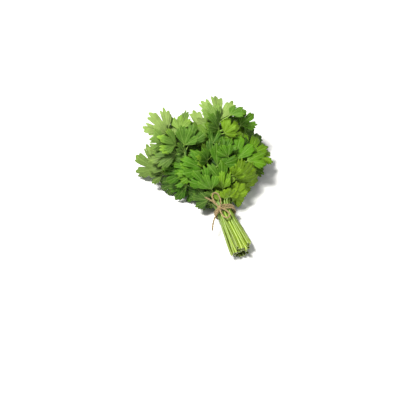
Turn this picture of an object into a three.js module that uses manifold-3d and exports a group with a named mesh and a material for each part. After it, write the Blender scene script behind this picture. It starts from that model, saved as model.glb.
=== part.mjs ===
// A tied bunch of fresh coriander lying on a table: leafy stalks held together by a jute twine bow.
// Lengths are in millimetres. +Z is up, and +Y runs along the bunch from the cut ends to the leaves.
// Every leafy stalk is its own solid, and so is the twine.

import * as THREE from "three";
import { mergeVertices } from "three/addons/utils/BufferGeometryUtils.js";
import Module from "manifold-3d";

const wasm = await Module();
wasm.setup();

const { cos, sin, PI, hypot, atan2, exp, max, min, abs, sqrt, floor } = Math;
const degrees = PI / 180;

// The bundle of stalks where the twine holds it
const SEED = 5;
const STALK_PITCH = 3.7;
const BUNDLE_HALF_WIDTH = 11.9;
const BUNDLE_HALF_HEIGHT = 11.2;
const TIE_HEIGHT = 22;

// The stalks, from their cut ends to the foot of the end leaflet
const CUT_LENGTH = 71;
const CUT_SLANT = 14;
const CUT_RAGGED = 7;
const CUT_LEAN = 13;
const CUT_FLARE_WIDTH = 0.66;
const CUT_FLARE_HEIGHT = 0.16;
const CUT_DROP = 8.9;
const STALK_SIDES = 5;
const RING_PLACES = [-34, -7, 6, 16, 32, 56, 90, 130];
const SHORTEST_SPAN = 8;
const CUT_RADIUS = 1.95;
const TIE_RADIUS = 1.6;
const TIP_RADIUS = 0.95;

// The fan of the leafy head
const FAN_HALF_ANGLE = 50 * degrees;
const FAN_ROUNDING = 0.6;
const AXIS_RISE = 7 * degrees;
const RISE_ANGLE = 29 * degrees;
const FALL_ANGLE = 13 * degrees;
const BEND_LENGTH = 26;
const SAG = 9;
const REACH = 160;
const REACH_LOST_AT_SIDES = 16;
const REACH_SPREAD = 0.62;

// The outline that the head keeps within, seen from above: straight sides, a round rim and a peak in it
const HEAD_HALF_WIDTH = 21;
const HEAD_WIDENING = 1;
const HEAD_RADIUS = 176;
const PEAK_HEIGHT = 18;
const PEAK_ANGLE = 6 * degrees;
const PEAK_HALF_ANGLE = 12 * degrees;

// The leaflets of each round: where on the stalk they grow, from its end or from the tie, how long their
// stem and blade are, and how they point: off the stalk, round it from its outer side, and outwards again
const ROUNDS = [
  { fromEnd: 3, stem: 5, size: 44, off: 5, turn: 0, lift: 0, count: 1 },
  { fromEnd: 46, stem: 14, size: 37, off: 54, turn: 72, lift: 6, count: 2 },
  { fromEnd: 22, stem: 8, size: 33, off: 56, turn: 66, lift: 6, count: 2 },
  { fromTie: 36, stem: 14, size: 32, off: 38, turn: 30, lift: -22, count: 2 },
  { fromTie: 60, stem: 14, size: 34, off: 44, turn: 38, lift: -16, count: 2 },
  { fromTie: 20, stem: 12, size: 27, off: 34, turn: 24, lift: -22, count: 2 },
  { fromEnd: 70, stem: 12, size: 32, off: 50, turn: 60, lift: 4, count: 2 },
];
const LOWEST_LEAFLET = 13;
const LEAFLET_THICKNESS = 0.9;
const STEM_HALF_WIDTH = 0.85;
const MIDDLE_SHARE = 0.5;

// How far apart leaflets, stalks, twine and table stay
const LEAFLET_GAP = 1.9;
const EDGE_MARGIN = 2.6;
const LINE_GAP = 1.3;
const TABLE_GAP = 0.9;
const TABLE_HEIGHT = 1.1;
const TRIES = 160;

// The twine
const TWINE_DIAMETER = 2.6;
const TWINE_TURNS = 3;
const TWINE_PITCH = 2.95;
const TWINE_SIDES = 6;
const TWINE_CLEARANCE = 0.75;
const BAND_HALF_WIDTH = (TWINE_PITCH * TWINE_TURNS) / 2;
const KNOT_ANGLE = 118 * degrees;
const KNOT_HALF = [4.4, 4.8, 2.7];

// A repeatable draw from 0 to 1 for any three whole numbers
function draw(a, b, c) {
  let h =
    Math.imul(a + 1, 0x9e3779b1) ^
    Math.imul(b + 1, 0x85ebca77) ^
    Math.imul(c + SEED, 0xc2b2ae3d);
  h = Math.imul(h ^ (h >>> 15), 0x2c1b3c6d);
  h = Math.imul(h ^ (h >>> 12), 0x297a2d39);
  return ((h ^ (h >>> 15)) >>> 0) / 4294967296;
}

const swing = (a, b, c) => 2 * draw(a, b, c) - 1;
const vector = (x, y, z) => new THREE.Vector3(x, y, z);
const along = (start, direction, distance) =>
  start.clone().addScaledVector(direction, distance);

// The places of the stalks in the tie: a close packing cut to an ellipse
function bundleSlots() {
  const slots = [];
  const rowHeight = (STALK_PITCH * sqrt(3)) / 2;
  const rows = floor(BUNDLE_HALF_HEIGHT / rowHeight);
  const columns = floor(BUNDLE_HALF_WIDTH / STALK_PITCH) + 1;
  for (let row = rows; row >= -rows; row--)
    for (let column = -columns; column <= columns; column++) {
      const x = (column + (abs(row) % 2) / 2) * STALK_PITCH;
      const z = row * rowHeight;
      const a = x / BUNDLE_HALF_WIDTH;
      const b = z / BUNDLE_HALF_HEIGHT;
      if (a * a + b * b <= 1) slots.push({ x, z, a, b });
    }
  return slots;
}

// What sets one stalk apart: its way through the tie, its direction in the fan and its two lengths
function stalkOf(slot, index) {
  const fan =
    (FAN_HALF_ANGLE * slot.a) / sqrt(1 - FAN_ROUNDING * slot.b ** 2);
  const rise = AXIS_RISE + (slot.b > 0 ? RISE_ANGLE : FALL_ANGLE) * slot.b;
  const direction = vector(
    sin(fan) * cos(rise),
    cos(fan) * cos(rise),
    sin(rise),
  );
  const short = REACH_SPREAD * ((index * 0.618034) % 1) ** 1.3;
  const reach = (REACH - REACH_LOST_AT_SIDES * slot.a ** 4) * (1 - short);
  const cut =
    CUT_LENGTH -
    CUT_SLANT * max(0, slot.a) ** 2 -
    CUT_RAGGED * draw(index, 0, 1);
  return reachingTo({ ...slot, index, direction, cut }, reach);
}

// The curve of a stalk's middle at a distance s from the tie, positive towards the leaves
function stalkCurve(stalk, s) {
  const { x, z, direction, b } = stalk;
  if (s < 0) {
    const t = -s / CUT_LENGTH;
    const h = (1.25 * t * t) / (t + 0.25);
    return vector(
      x * (1 + CUT_FLARE_WIDTH * h) + CUT_LEAN * h,
      s,
      TIE_HEIGHT - CUT_DROP * h + z * (1 + CUT_FLARE_HEIGHT * h),
    );
  }
  const free = max(0, s - BAND_HALF_WIDTH);
  const out = (free * free) / (free + BEND_LENGTH);
  const sag = (SAG * (1 + b) * out * out) / 20000;
  return vector(
    x + direction.x * out,
    s - out + direction.y * out,
    TIE_HEIGHT + z + direction.z * out - sag,
  );
}

// The stalk is straight from one ring to the next, so its leaflets grow from those straight lengths
function ringsOf(stalk) {
  const inner = RING_PLACES.filter((s) => s < stalk.reach - SHORTEST_SPAN);
  return [-stalk.cut, ...inner, stalk.reach].map((s) => {
    return { s, point: stalkCurve(stalk, s) };
  });
}

function reachingTo(stalk, reach) {
  const changed = { ...stalk, reach };
  return { ...changed, rings: ringsOf(changed) };
}

function stalkSpan(stalk, s) {
  const last = stalk.rings.length - 2;
  const i = max(0, min(last, stalk.rings.findIndex((ring) => ring.s > s) - 1));
  return s >= stalk.rings[last].s ? last : i;
}

function stalkPoint(stalk, s) {
  const i = stalkSpan(stalk, s);
  const [a, b] = [stalk.rings[i], stalk.rings[i + 1]];
  return a.point.clone().lerp(b.point, (s - a.s) / (b.s - a.s));
}

function stalkDirection(stalk, s) {
  const i = stalkSpan(stalk, s);
  return stalk.rings[i + 1].point.clone().sub(stalk.rings[i].point).normalize();
}

function stalkRadius(stalk, s) {
  return s < 0
    ? TIE_RADIUS + ((CUT_RADIUS - TIE_RADIUS) * -s) / stalk.cut
    : TIE_RADIUS + ((TIP_RADIUS - TIE_RADIUS) * s) / stalk.reach;
}

// A leaflet's outline: its half outline as [angle from the rib, share of its length], for a given depth of cut
const BLADE_HALF_ANGLE = 62 * degrees;
function outline(cutDepth) {
  const half = [
    [8, 0.93],
    [15, 0.97],
    [20, 0.97 - cutDepth],
    [28, 0.94],
    [38, 0.86],
    [45, 0.88],
    [BLADE_HALF_ANGLE / degrees, 0.6],
  ];
  const right = half.map(([angle, share]) => [angle * degrees, share]);
  const left = right.map(([angle, share]) => [-angle, share]).reverse();
  return [...left, [0, 1], ...right];
}

// The outline without its cuts, which keeps leaflets apart
function reachShare(angle) {
  const t = min(1, abs(angle) / BLADE_HALF_ANGLE);
  return 1 - 0.16 * t * t - 0.2 * t ** 6;
}

// How far a leaflet's surface stands off its plane: an arch along the rib, a cup across it, and a wave
function leafletHeight(leaflet, r, angle) {
  const { size, arch, cup, wave, phase } = leaflet;
  const share = r / size;
  return (
    size *
    share *
    share *
    (-arch * cos(angle) ** 2 -
      cup * sin(angle) ** 2 +
      wave * sin(3 * angle + phase))
  );
}

function leafletPoint(leaflet, r, angle, offset = 0) {
  const { foot, rib, side, face } = leaflet;
  return foot
    .clone()
    .addScaledVector(rib, r * cos(angle))
    .addScaledVector(side, r * sin(angle))
    .addScaledVector(face, leafletHeight(leaflet, r, angle) + offset);
}

function rootWay(stalk, round) {
  const { fromEnd, fromTie } = ROUNDS[round];
  return fromTie ?? stalk.reach - fromEnd;
}

// A stalk bears a leaflet there unless another round's would be in its way
function bears(stalk, round) {
  const s = rootWay(stalk, round);
  return s >= LOWEST_LEAFLET && s <= stalk.reach - 12;
}

// A leaflet on the end of its own little stem, which leaves the stalk at root
function makeLeaflet(stalk, place, attempt) {
  const { round, hand, key } = place;
  const { stem, size, off, turn, lift } = ROUNDS[round];
  const loose = min(1, attempt / 20);
  const spread = (n) => swing(key, attempt, n);
  const shrink = 1 - (0.4 * attempt) / TRIES;
  const slide = round === 0 ? 0 : 10 * loose * spread(1);
  const s = max(LOWEST_LEAFLET, rootWay(stalk, round) + slide);
  const root = stalkPoint(stalk, s);
  const way = stalkDirection(stalk, s);
  const out = outwardOf(stalk, way);
  const about = hand * (turn + 34 * loose * spread(2)) * degrees;
  const aside = out.clone().applyAxisAngle(way, about);
  const lean = (off + (6 + 16 * loose) * spread(3)) * degrees;
  const towards = way
    .clone()
    .multiplyScalar(cos(lean))
    .addScaledVector(aside, sin(lean));
  const pitch = (lift + (8 + 18 * loose) * spread(4)) * degrees;
  const rib = towards.clone().multiplyScalar(cos(pitch));
  rib.addScaledVector(out, sin(pitch)).normalize();
  const side = vector(0, 0, 0).crossVectors(rib, out).normalize();
  const face = vector(0, 0, 0).crossVectors(side, rib).normalize();
  face.applyAxisAngle(rib, (10 + 26 * loose) * degrees * spread(5));
  side.crossVectors(rib, face).normalize();
  const leaflet = {
    key,
    owner: stalk.index,
    root,
    rib,
    side,
    face,
    size: size * shrink * (0.9 + 0.2 * draw(key, attempt, 6)),
    arch: 0.14 + 0.24 * draw(key, attempt, 7),
    cup: 0.05 + 0.18 * spread(8),
    wave: 0.06 * draw(key, attempt, 9),
    phase: 2 * PI * draw(key, attempt, 10),
    cutDepth: 0.2 + 0.18 * draw(key, attempt, 11),
  };
  const stemWay = towards.clone().multiplyScalar(0.6).addScaledVector(rib, 0.4);
  leaflet.foot = along(root, stemWay.normalize(), stem * shrink);
  leaflet.centre = along(leaflet.foot, rib, leaflet.size * 0.5);
  leaflet.samples = samplePoints(leaflet);
  leaflet.line = [0.35, 0.7, 1].map((t) => ({
    point: root.clone().lerp(leaflet.foot, t),
    radius: STEM_HALF_WIDTH,
    owner: stalk.index,
  }));
  return leaflet;
}

const SAMPLE_SHARES = [0.25, 0.5, 0.75, 1];
const SAMPLE_ANGLES = [-62, -47, -31, -15, 0, 15, 31, 47, 62];
function samplePoints(leaflet) {
  const points = [leaflet.foot];
  for (const share of SAMPLE_SHARES)
    for (const angle of SAMPLE_ANGLES) {
      const turn = angle * degrees;
      const r = leaflet.size * share * reachShare(turn);
      points.push(leafletPoint(leaflet, r, turn));
    }
  return points;
}

// How far a point stands off a leaflet's surface, or null beyond its edge
function standOff(leaflet, point) {
  const d = point.clone().sub(leaflet.foot);
  const u = d.dot(leaflet.rib);
  const v = d.dot(leaflet.side);
  const r = hypot(u, v);
  const angle = atan2(v, u);
  const past = abs(angle) - BLADE_HALF_ANGLE;
  if (r > leaflet.size * reachShare(angle) + EDGE_MARGIN) return null;
  if (past > 0 && r * sin(min(past, PI / 2)) > EDGE_MARGIN) return null;
  const kept = max(-BLADE_HALF_ANGLE, min(BLADE_HALF_ANGLE, angle));
  return d.dot(leaflet.face) - leafletHeight(leaflet, r, kept);
}

// True if no sample of one leaflet comes too near the other, or lies on its other side
function keepApart(leaflet, other) {
  let low = 1e9;
  let high = -1e9;
  for (const point of other.samples) {
    const off = standOff(leaflet, point);
    if (off === null) continue;
    low = min(low, off);
    high = max(high, off);
  }
  return low > LEAFLET_GAP || high < -LEAFLET_GAP;
}

function withinHead({ x, y, z }) {
  const off = (atan2(x, y) - PEAK_ANGLE) / PEAK_HALF_ANGLE;
  const rim = HEAD_RADIUS + PEAK_HEIGHT * exp(-off * off);
  const inFan = abs(x) < HEAD_HALF_WIDTH + HEAD_WIDENING * y;
  return z > TABLE_GAP && inFan && hypot(x, y) < rim;
}

function leafletFits(leaflet, placed, lines) {
  if (!leaflet.samples.every(withinHead)) return false;
  for (const other of placed) {
    const near = leaflet.size * 0.8 + other.size * 0.8 + 4;
    if (leaflet.centre.distanceTo(other.centre) > near) continue;
    if (!keepApart(leaflet, other) || !keepApart(other, leaflet)) return false;
    if (other.owner !== leaflet.owner)
      for (const { point, radius } of leaflet.line) {
        const off = standOff(other, point);
        if (off !== null && abs(off) < radius + LINE_GAP) return false;
      }
  }
  for (const { point, radius, owner } of lines) {
    if (owner === leaflet.owner) continue;
    if (leaflet.centre.distanceTo(point) > leaflet.size * 0.8 + 5) continue;
    const off = standOff(leaflet, point);
    if (off !== null && abs(off) < radius + LINE_GAP) return false;
    for (const own of leaflet.line)
      if (own.point.distanceTo(point) < own.radius + radius + 0.9) return false;
  }
  return true;
}

// The side of a stalk that looks away from the middle of the bunch
function outwardOf(stalk, way) {
  const out = vector(stalk.a * 0.8, 0, stalk.b * 0.9 + 0.35);
  out.addScaledVector(vector(0, 0.1, 0.5), stalk.b < -0.2 ? 0.2 : 1);
  return out.addScaledVector(way, -out.dot(way)).normalize();
}

// The twine's centre line, as turns round the bundle and a bow that starts and ends at the knot
const twineRadius = TWINE_DIAMETER / 2;
const turnHalfWidth =
  BUNDLE_HALF_WIDTH + TIE_RADIUS + TWINE_CLEARANCE + twineRadius;
const turnHalfHeight =
  BUNDLE_HALF_HEIGHT + TIE_RADIUS + TWINE_CLEARANCE + twineRadius;

function turnPoint(angle, y) {
  return vector(
    turnHalfWidth * cos(angle),
    y,
    TIE_HEIGHT + turnHalfHeight * sin(angle),
  );
}

function turnPoints() {
  const steps = TWINE_TURNS * 20;
  const points = [];
  for (let i = 0; i <= steps; i++) {
    const t = i / steps;
    const y = (t - 0.5) * TWINE_PITCH * TWINE_TURNS;
    points.push(turnPoint(KNOT_ANGLE + t * TWINE_TURNS * 2 * PI, y));
  }
  return points;
}

// Each bow piece by hand, from the knot's middle: across, along and up
const BOW = {
  upper_loop: [
    [0, 0, 0],
    [2.5, 6, 2.5],
    [3.5, 14, 5.5],
    [0, 22, 8],
    [-5.5, 22, 8],
    [-7.5, 15, 6],
    [-4.5, 7, 3],
    [0, 0, 0],
  ],
  lower_loop: [
    [0, 0, 0],
    [5, -4.5, 2.2],
    [10, -11, 2.6],
    [11, -17, 2.2],
    [6.5, -20, 1.8],
    [1.5, -16, 2],
    [-0.5, -8, 2],
    [0, 0, 0],
  ],
  upper_end: [
    [0, 0, 0],
    [-4, 6, 1.5],
    [-9, 13, 2.6],
    [-17, 21, 3],
  ],
  lower_end: [
    [0, 0, 0],
    [-4, -5, 0.2],
    [-10, -11, -5],
    [-14.5, -18, -10.5],
    [-17.5, -26, -15],
  ],
};

const KNOT_OFFSET = vector(-0.7, 0, 1.9);
const knotMiddle = turnPoint(KNOT_ANGLE, 0).add(KNOT_OFFSET);

function bowCurves() {
  return Object.values(BOW).map(
    (points) =>
      new THREE.CatmullRomCurve3(
        points.map(([x, y, z]) => vector(x, y, z).add(knotMiddle)),
        false,
        "centripetal",
      ),
  );
}

// What leaflets keep clear of: points along the stalks and along the twine, each with its radius
function stalkLine(stalk) {
  const line = [];
  for (let s = 8; s <= stalk.reach; s += 4)
    line.push({
      point: stalkPoint(stalk, s),
      radius: stalkRadius(stalk, s),
      owner: stalk.index,
    });
  return line;
}

function twineLine() {
  const curves = bowCurves().flatMap((curve) => curve.getSpacedPoints(20));
  return [...turnPoints(), ...curves].map((point) => ({
    point,
    radius: twineRadius,
    owner: -1,
  }));
}

// The end leaflets come first, the furthest one first, and a stalk is cut shorter until its leaflet fits
function placeEnds(stalks, placed) {
  const lines = stalks.map(stalkLine);
  const twine = twineLine();
  const order = [...stalks].sort((a, b) => b.reach - a.reach);
  for (const { index, reach } of order)
    for (let attempt = 0; attempt < TRIES; attempt++) {
      const shorter = reach * (1 - (0.6 * attempt) / TRIES);
      const stalk = reachingTo(stalks[index], shorter);
      const place = { round: 0, hand: 1, key: index * 16 };
      const leaflet = makeLeaflet(stalk, place, attempt);
      if (!leafletFits(leaflet, placed, [...lines.flat(), ...twine])) continue;
      stalks[index] = stalk;
      lines[index] = [...stalkLine(stalk), ...leaflet.line];
      placed.push(leaflet);
      break;
    }
  return [...lines.flat(), ...twine];
}

function layOut() {
  const stalks = bundleSlots().map(stalkOf);
  const placed = [];
  const lines = placeEnds(stalks, placed);
  for (let round = 1; round < ROUNDS.length; round++)
    for (const stalk of stalks)
      for (let n = 0; n < ROUNDS[round].count; n++) {
        if (!bears(stalk, round)) continue;
        const key = stalk.index * 16 + round * 2 + n;
        const place = { round, hand: 2 * n - 1, key };
        for (let attempt = 0; attempt < TRIES; attempt++) {
          const leaflet = makeLeaflet(stalk, place, attempt);
          if (!leafletFits(leaflet, placed, lines)) continue;
          placed.push(leaflet);
          lines.push(...leaflet.line);
          break;
        }
      }
  return { stalks, placed };
}

// Solids
function solidOf(geometry) {
  geometry.deleteAttribute("normal");
  geometry.deleteAttribute("uv");
  const merged = mergeVertices(geometry, 1e-4);
  return new wasm.Manifold(
    new wasm.Mesh({
      numProp: 3,
      vertProperties: merged.attributes.position.array,
      triVerts: new Uint32Array(merged.index.array),
    }),
  );
}

function geometryOf(solid) {
  const mesh = solid.getMesh();
  const position = new Float32Array(mesh.numVert * 3);
  for (let i = 0; i < mesh.numVert; i++)
    position.set(
      mesh.vertProperties.subarray(i * mesh.numProp, i * mesh.numProp + 3),
      i * 3,
    );
  const geometry = new THREE.BufferGeometry();
  geometry.setAttribute("position", new THREE.BufferAttribute(position, 3));
  geometry.setIndex(new THREE.BufferAttribute(mesh.triVerts, 1));
  geometry.computeVertexNormals();
  return geometry;
}

function geometryFrom(points, faces) {
  const geometry = new THREE.BufferGeometry().setFromPoints(points);
  geometry.setIndex(faces);
  return geometry;
}

const SMALLEST_DETAIL = 0.06;

// A closed tube through the points, with its own radius at each
function taperedTube(points, radii, sides) {
  const vertices = [];
  const faces = [];
  let across = vector(0, 0, 1);
  points.forEach((point, i) => {
    const ahead = points[min(i + 1, points.length - 1)];
    const behind = points[max(i - 1, 0)];
    const way = ahead.clone().sub(behind).normalize();
    across = across.clone().addScaledVector(way, -across.dot(way)).normalize();
    const beside = vector(0, 0, 0).crossVectors(way, across);
    for (let k = 0; k < sides; k++) {
      const turn = (2 * PI * k) / sides;
      vertices.push(
        point
          .clone()
          .addScaledVector(across, radii[i] * cos(turn))
          .addScaledVector(beside, radii[i] * sin(turn)),
      );
    }
  });
  for (let i = 0; i < points.length - 1; i++)
    for (let k = 0; k < sides; k++) {
      const a = i * sides + k;
      const b = i * sides + ((k + 1) % sides);
      faces.push(a, b, a + sides, b, b + sides, a + sides);
    }
  const last = (points.length - 1) * sides;
  for (let k = 1; k < sides - 1; k++) {
    faces.push(0, k + 1, k);
    faces.push(last, last + k, last + k + 1);
  }
  return solidOf(geometryFrom(vertices, faces));
}

// A leaflet and its stem as one thin solid: two alike faces, one blade thickness apart, and the edge between
function leafletSolid(leaflet) {
  const { size, cutDepth, root, foot, side, face } = leaflet;
  const beside = (point, way) => along(point, side, way * STEM_HALF_WIDTH);
  const rim = [
    beside(root, -1),
    beside(foot, -1),
    ...outline(cutDepth).map(([angle, share]) =>
      leafletPoint(leaflet, share * size, angle),
    ),
    beside(foot, 1),
    beside(root, 1),
  ];
  const flat = [...rim, leafletPoint(leaflet, MIDDLE_SHARE * size, 0)];
  const middle = rim.length;
  const count = flat.length;
  const half = LEAFLET_THICKNESS / 2;
  const upper = flat.map((point) => along(point, face, half));
  const lower = flat.map((point) => along(point, face, -half));
  const sheet = [
    [0, 1, middle - 1],
    [1, middle - 2, middle - 1],
    [1, middle, middle - 2],
  ];
  for (let a = 1; a < middle - 2; a++) sheet.push([a, a + 1, middle]);
  const shell = [];
  for (const [a, b, c] of sheet) {
    shell.push(a, c, b);
    shell.push(count + a, count + b, count + c);
  }
  for (let a = 0; a < rim.length; a++) {
    const b = (a + 1) % rim.length;
    shell.push(a, b, count + a, b, count + b, count + a);
  }
  return solidOf(geometryFrom([...upper, ...lower], shell));
}

function leafyStalk(stalk, leaflets) {
  const points = stalk.rings.map((ring) => ring.point);
  const radii = stalk.rings.map((ring) => stalkRadius(stalk, ring.s));
  const solids = [taperedTube(points, radii, STALK_SIDES)];
  for (const leaflet of leaflets) solids.push(leafletSolid(leaflet));
  return wasm.Manifold.union(solids)
    .trimByPlane([0, 0, 1], TABLE_HEIGHT)
    .asOriginal()
    .simplify(SMALLEST_DETAIL);
}

function twineTie() {
  const section = new THREE.Shape();
  for (let k = 0; k < TWINE_SIDES; k++) {
    const turn = (2 * PI * k) / TWINE_SIDES;
    const [x, y] = [twineRadius * cos(turn), twineRadius * sin(turn)];
    if (k === 0) section.moveTo(x, y);
    else section.lineTo(x, y);
  }
  section.closePath();
  const rope = (curve, steps) =>
    solidOf(
      new THREE.ExtrudeGeometry(section, { steps, extrudePath: curve }),
    );
  const turns = new THREE.CatmullRomCurve3(turnPoints());
  const knot = new THREE.IcosahedronGeometry(1, 1)
    .scale(...KNOT_HALF)
    .translate(knotMiddle.x, knotMiddle.y, knotMiddle.z);
  const steps = [12, 12, 6, 7];
  return wasm.Manifold.union([
    rope(turns, TWINE_TURNS * 14),
    solidOf(knot),
    ...bowCurves().map((curve, i) => rope(curve, steps[i])),
  ]);
}

// Colours
const LEAF_COLOURS = { pale: 0x9cc25a, fresh: 0x5f9a34, deep: 0x3c7427 };
const TWINE_COLOUR = 0xb48a55;

function leafTone(stalk) {
  const light = 0.5 * stalk.b + 0.5 * draw(stalk.index, 0, 20);
  return light > 0.62 ? "pale" : light > 0.2 ? "fresh" : "deep";
}

function plain(colour, roughness) {
  return new THREE.MeshStandardMaterial({
    color: colour,
    roughness,
    metalness: 0,
    flatShading: true,
  });
}

const bunch = new THREE.Group();
const { stalks, placed } = layOut();
const leafMaterials = Object.fromEntries(
  Object.entries(LEAF_COLOURS).map(([tone, colour]) => [
    tone,
    plain(colour, 0.5),
  ]),
);

for (const stalk of stalks) {
  const leaflets = placed.filter((leaflet) => leaflet.owner === stalk.index);
  const mesh = new THREE.Mesh(
    geometryOf(leafyStalk(stalk, leaflets)),
    leafMaterials[leafTone(stalk)],
  );
  mesh.name = "leafy_stalk_" + String(stalk.index + 1).padStart(2, "0");
  bunch.add(mesh);
}

const tie = new THREE.Mesh(geometryOf(twineTie()), plain(TWINE_COLOUR, 0.9));
tie.name = "twine_tie";
bunch.add(tie);

// The bunch stands on z = 0, with the middle of its box over the origin
const box = new THREE.Box3().setFromObject(bunch);
const middle = box.getCenter(new THREE.Vector3());
bunch.position.set(-middle.x, -middle.y, -TABLE_HEIGHT);

export default bunch;
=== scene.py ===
# The looks of a tied bunch of fresh coriander: fine leaves and stalks, and a jute twine bow.
# The layout below is worked out in millimetres, in the bunch's own frame with the tie over the origin.
# It follows the same rule as the part's solids, so each fine leafy stalk lies on its plain one.

import math

import bpy
import numpy as np
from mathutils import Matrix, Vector


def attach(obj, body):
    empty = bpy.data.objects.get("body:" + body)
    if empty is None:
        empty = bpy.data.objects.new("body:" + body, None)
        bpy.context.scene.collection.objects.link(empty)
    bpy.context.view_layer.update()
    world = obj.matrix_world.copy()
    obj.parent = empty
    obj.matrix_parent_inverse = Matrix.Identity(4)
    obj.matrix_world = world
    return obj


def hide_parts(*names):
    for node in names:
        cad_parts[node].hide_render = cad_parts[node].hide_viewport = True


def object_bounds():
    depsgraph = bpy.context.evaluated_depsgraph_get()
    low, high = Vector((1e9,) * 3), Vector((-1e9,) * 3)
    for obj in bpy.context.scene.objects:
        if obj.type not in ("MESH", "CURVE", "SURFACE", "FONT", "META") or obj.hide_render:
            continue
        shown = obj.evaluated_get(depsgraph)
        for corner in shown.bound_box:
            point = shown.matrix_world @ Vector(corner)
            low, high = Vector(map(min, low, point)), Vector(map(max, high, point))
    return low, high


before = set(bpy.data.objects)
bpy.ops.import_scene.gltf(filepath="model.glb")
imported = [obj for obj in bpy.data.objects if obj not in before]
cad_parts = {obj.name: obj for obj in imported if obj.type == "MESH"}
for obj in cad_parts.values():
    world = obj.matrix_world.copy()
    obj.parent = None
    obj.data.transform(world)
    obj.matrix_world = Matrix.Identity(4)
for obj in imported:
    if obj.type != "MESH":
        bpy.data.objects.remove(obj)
cad_low, cad_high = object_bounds()

# The bundle of stalks where the twine holds it
SEED = 5
STALK_PITCH = 3.7
BUNDLE_HALF_WIDTH = 11.9
BUNDLE_HALF_HEIGHT = 11.2
TIE_HEIGHT = 22

# The stalks, from their cut ends to the foot of the end leaflet
CUT_LENGTH = 71
CUT_SLANT = 14
CUT_RAGGED = 7
CUT_LEAN = 13
CUT_FLARE_WIDTH = 0.66
CUT_FLARE_HEIGHT = 0.16
CUT_BEND = 0.25
CUT_DROP = 8.9
RING_PLACES = [-34, -7, 6, 16, 32, 56, 90, 130]
SHORTEST_SPAN = 8
CUT_RADIUS = 1.95
TIE_RADIUS = 1.6
TIP_RADIUS = 0.95

# The fan of the leafy head, and how the stalks' lengths are spread between the longest and the shortest
FAN_HALF_ANGLE = math.radians(50)
FAN_ROUNDING = 0.6
AXIS_RISE = math.radians(7)
RISE_ANGLE = math.radians(29)
FALL_ANGLE = math.radians(13)
BEND_LENGTH = 26
SAG = 9
SAG_SPAN = 100
REACH = 160
REACH_LOST_AT_SIDES = 16
REACH_SPREAD = 0.62
SHORTENING_POWER = 1.3
GOLDEN_SHARE = 0.618034

# The outlines that the head keeps within: a top, and from above straight sides and a round rim with a peak.
# The filling leaflets' outline is narrower on the left, and its sides lean out above FLARE_HEIGHT
SOLID_HEAD = dict(
    half_width=21, widening=1, flare=0, left=1,
    radius=176, peak=18, peak_angle=math.radians(6), top=math.inf,
)
FILL_HEAD = dict(
    half_width=20, widening=1.12, flare=0.4, left=0.7,
    radius=152, peak=20, peak_angle=math.radians(38), top=106,
)
FLARE_HEIGHT = 25
PEAK_HALF_ANGLE = math.radians(12)

# The leaflets of each round, as in the solids: where they grow, their stem and blade, and how they point.
# The first round is the end leaflets
ROUNDS = [
    dict(from_end=3, stem=5, size=44, off=5, turn=0, lift=0),
    dict(from_end=46, stem=14, size=37, off=54, turn=72, lift=6),
    dict(from_end=22, stem=8, size=33, off=56, turn=66, lift=6),
    dict(from_tie=36, stem=14, size=32, off=38, turn=30, lift=-22),
    dict(from_tie=60, stem=14, size=34, off=44, turn=38, lift=-16),
    dict(from_tie=20, stem=12, size=27, off=34, turn=24, lift=-22),
    dict(from_end=70, stem=12, size=32, off=50, turn=60, lift=4),
]
# The smaller leaflets that only the fine bunch has, which fill the gaps
FILL_ROUNDS = [
    dict(from_end=13, stem=26, size=31, off=40, turn=84, lift=-6),
    dict(from_tie=14, stem=6, size=24, off=26, turn=20, lift=-6),
    dict(from_tie=28, stem=12, size=27, off=36, turn=20, lift=-18),
    dict(from_end=34, stem=11, size=28, off=58, turn=40, lift=0),
    dict(from_tie=46, stem=13, size=28, off=42, turn=55, lift=-14),
    dict(from_end=12, stem=6, size=24, off=50, turn=80, lift=0),
    dict(from_tie=74, stem=13, size=28, off=44, turn=50, lift=-10),
    dict(from_tie=16, stem=10, size=22, off=34, turn=60, lift=-14),
    dict(from_end=58, stem=11, size=26, off=50, turn=30, lift=0),
]
LOWEST_LEAFLET = 13
END_CLEARANCE = 12
STEM_HALF_WIDTH = 0.85
BLADE_HALF_ANGLE = math.radians(62)
KEYS_A_STALK = 16
FILL_KEYS = 64 * KEYS_A_STALK

# How far a leaflet may be off its rule's place: along the stalk in millimetres, and in degrees.
# The first number is for every try, and the second grows with the tries
SLIDE_PLAY = (0, 10)
TURN_PLAY = (0, 34)
LEAN_PLAY = (6, 16)
PITCH_PLAY = (8, 18)
FACE_PLAY = (10, 26)

# How far apart leaflets, stalks, twine and table stay, in the solids and among the filling leaflets
SOLID_GAPS = dict(leaflet=1.9, edge=2.6, line=1.3, head=SOLID_HEAD)
FILL_GAPS = dict(leaflet=0.9, edge=0.3, line=0.3, head=FILL_HEAD)
STEM_GAP = 0.9
TABLE_GAP = 0.9
TABLE_HEIGHT = 1.1

# The tries at placing a leaflet: each may move it further from its plain place, and makes it smaller
TRIES = 160
FREE_TRIES = 20
SHRINK = 0.4
SHORTENING = 0.6
FILL_TRIES = 96
BATCHES = [0, 8, 32, 96, 160]

# The twine
TWINE_DIAMETER = 2.6
TWINE_TURNS = 3
TWINE_PITCH = 2.95
TWINE_CLEARANCE = 0.75
BAND_HALF_WIDTH = TWINE_PITCH * TWINE_TURNS / 2
KNOT_ANGLE = math.radians(118)
KNOT_OFFSET = np.array([-0.7, 0, 1.9])
TWINE_RADIUS = TWINE_DIAMETER / 2
TURN_HALF_WIDTH = BUNDLE_HALF_WIDTH + TIE_RADIUS + TWINE_CLEARANCE + TWINE_RADIUS
TURN_HALF_HEIGHT = BUNDLE_HALF_HEIGHT + TIE_RADIUS + TWINE_CLEARANCE + TWINE_RADIUS

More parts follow.
